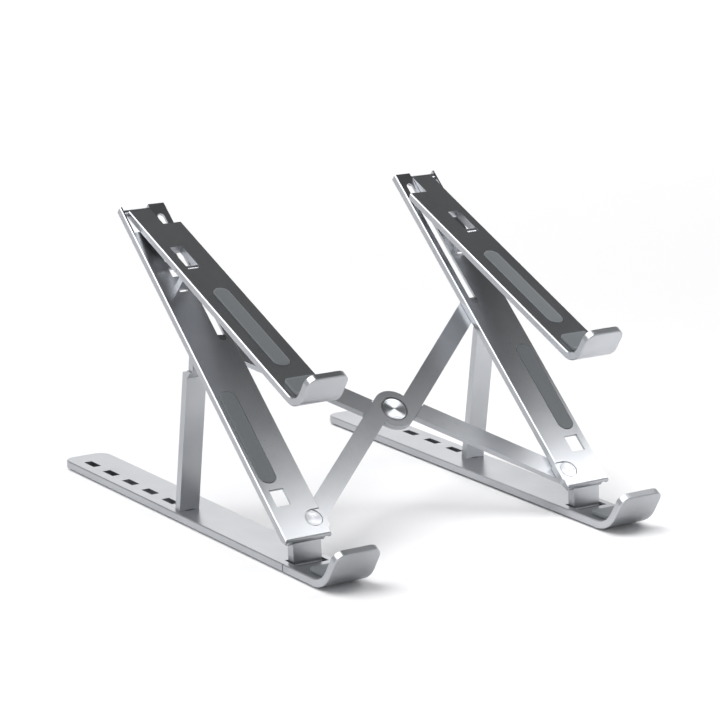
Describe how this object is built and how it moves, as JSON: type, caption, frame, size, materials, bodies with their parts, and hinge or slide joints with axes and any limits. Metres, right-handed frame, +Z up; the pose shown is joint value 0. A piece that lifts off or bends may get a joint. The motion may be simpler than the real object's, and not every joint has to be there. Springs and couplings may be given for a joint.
{
  "type": "laptop stand",
  "caption": "Folding two-deck notebook stand: base rails with hooks, sloping arms on front links and rear legs, flat crossed bars, and a hooked upper deck.",
  "frame": {"origin": "middle of the footprint, on the surface the stand rests on", "axes": "+X to the stand's right, +Y to its rear, +Z up; the hooks are at -Y"},
  "size_m": [0.24, 0.3327, 0.189],
  "materials": {
    "aluminium_satin": "fine-blasted satin, anodised, with bright chamfers",
    "aluminium_bright": "turned, bright",
    "steel_pin": "ground",
    "silicone": "matt",
    "nylon": "matt"
  },
  "bodies": {
    "left_base": {"left_base_rail": "aluminium_satin", "left_base_hook_pad": "silicone", "left_base_front_pad": "silicone", "left_base_rear_pad": "silicone", "left_link_base_pin": "steel_pin"},
    "left_link": {"left_front_link": "aluminium_satin"},
    "left_arm": {"left_lower_arm": "aluminium_satin", "left_arm_strip": "silicone", "left_link_top_pin": "steel_pin", "left_leg_pin": "steel_pin", "left_deck_hinge_pin": "steel_pin", "left_bar_rivet": "aluminium_bright"},
    "left_leg": {"left_rear_leg": "aluminium_satin"},
    "left_deck": {"left_deck_arm": "aluminium_satin", "left_deck_hook_pad": "silicone", "left_deck_strip": "silicone", "left_strut_pin": "steel_pin"},
    "left_strut": {"left_deck_strut": "aluminium_satin"},
    "right_base": {"right_base_rail": "aluminium_satin", "right_base_hook_pad": "silicone", "right_base_front_pad": "silicone", "right_base_rear_pad": "silicone", "right_link_base_pin": "steel_pin"},
    "right_link": {"right_front_link": "aluminium_satin"},
    "right_arm": {"right_lower_arm": "aluminium_satin", "right_arm_strip": "silicone", "right_link_top_pin": "steel_pin", "right_leg_pin": "steel_pin", "right_deck_hinge_pin": "steel_pin", "right_bar_rivet": "aluminium_bright"},
    "right_leg": {"right_rear_leg": "aluminium_satin"},
    "right_deck": {"right_deck_arm": "aluminium_satin", "right_deck_hook_pad": "silicone", "right_deck_strip": "silicone", "right_strut_pin": "steel_pin"},
    "right_strut": {"right_deck_strut": "aluminium_satin"},
    "bar_over": {"cross_bar_over": "aluminium_satin", "centre_rivet": "aluminium_bright", "centre_washer": "nylon", "right_slide_rivet": "aluminium_bright", "right_slide_bush": "nylon"},
    "bar_under": {"cross_bar_under": "aluminium_satin", "left_slide_rivet": "aluminium_bright", "left_slide_bush": "nylon"}
  },
  "joints": [
    {"name": "left_link_hinge", "type": "hinge", "parent": "left_base", "child": "left_link", "pos_m": [-0.104, -0.10788, 0.0035], "axis": [1, 0, 0], "range_deg": [0, 15.46]},
    {"name": "arm_raise", "type": "hinge", "parent": "left_link", "child": "left_arm", "pos_m": [-0.104, -0.10653, 0.01894], "axis": [1, 0, 0], "range_deg": [0, 34]},
    {"name": "left_leg_fold", "type": "hinge", "parent": "left_arm", "child": "left_leg", "pos_m": [-0.1098, -0.00012, 0.11449], "axis": [1, 0, 0], "range_deg": [-55.58, 0]},
    {"name": "deck_raise", "type": "hinge", "parent": "left_arm", "child": "left_deck", "pos_m": [-0.105, 0.08001, 0.18481], "axis": [-1, 0, 0], "range_deg": [0, 60]},
    {"name": "left_strut_fold", "type": "hinge", "parent": "left_deck", "child": "left_strut", "pos_m": [-0.105, 0.01903, 0.15892], "axis": [1, 0, 0], "range_deg": [0, 72.5]},
    {"name": "width_fold", "type": "hinge", "parent": "left_arm", "child": "bar_over", "pos_m": [-0.0949, -0.09833, 0.02368], "axis": [0, -0.6561, 0.7547], "range_deg": [0, 49]},
    {"name": "cross_pivot", "type": "hinge", "parent": "bar_over", "child": "bar_under", "pos_m": [0, -0.04686, 0.06843], "axis": [0, -0.6561, 0.7547], "range_deg": [-98.5, 0]},
    {"name": "right_bar_pivot", "type": "hinge", "parent": "bar_under", "child": "right_arm", "pos_m": [0.0949, -0.09833, 0.02368], "axis": [0, -0.6561, 0.7547], "range_deg": [0, 49.5]},
    {"name": "right_arm_hinge", "type": "hinge", "parent": "right_arm", "child": "right_link", "pos_m": [0.104, -0.10653, 0.01894], "axis": [1, 0, 0], "range_deg": [-34.5, 0]},
    {"name": "right_link_hinge", "type": "hinge", "parent": "right_link", "child": "right_base", "pos_m": [0.104, -0.10788, 0.0035], "axis": [1, 0, 0], "range_deg": [-15.46, 0]},
    {"name": "right_leg_fold", "type": "hinge", "parent": "right_arm", "child": "right_leg", "pos_m": [0.1098, -0.00012, 0.11449], "axis": [1, 0, 0], "range_deg": [-55.58, 0]},
    {"name": "right_deck_hinge", "type": "hinge", "parent": "right_arm", "child": "right_deck", "pos_m": [0.105, 0.08001, 0.18481], "axis": [-1, 0, 0], "range_deg": [0, 60.5]},
    {"name": "right_strut_fold", "type": "hinge", "parent": "right_deck", "child": "right_strut", "pos_m": [0.105, 0.01903, 0.15892], "axis": [1, 0, 0], "range_deg": [0, 72.5]}
  ],
  "couplings": [
    {"joint": "left_link_hinge", "follows": "arm_raise", "ratio": 0.44},
    {"joint": "left_leg_fold", "follows": "arm_raise", "ratio": -1.62},
    {"joint": "right_arm_hinge", "follows": "arm_raise", "ratio": -1},
    {"joint": "right_link_hinge", "follows": "arm_raise", "ratio": -0.44},
    {"joint": "right_leg_fold", "follows": "arm_raise", "ratio": -1.62},
    {"joint": "left_strut_fold", "follows": "deck_raise", "ratio": 1.2},
    {"joint": "right_deck_hinge", "follows": "deck_raise", "ratio": 1},
    {"joint": "right_strut_fold", "follows": "deck_raise", "ratio": 1.2},
    {"joint": "cross_pivot", "follows": "width_fold", "ratio": -2},
    {"joint": "right_bar_pivot", "follows": "width_fold", "ratio": 1}
  ]
}
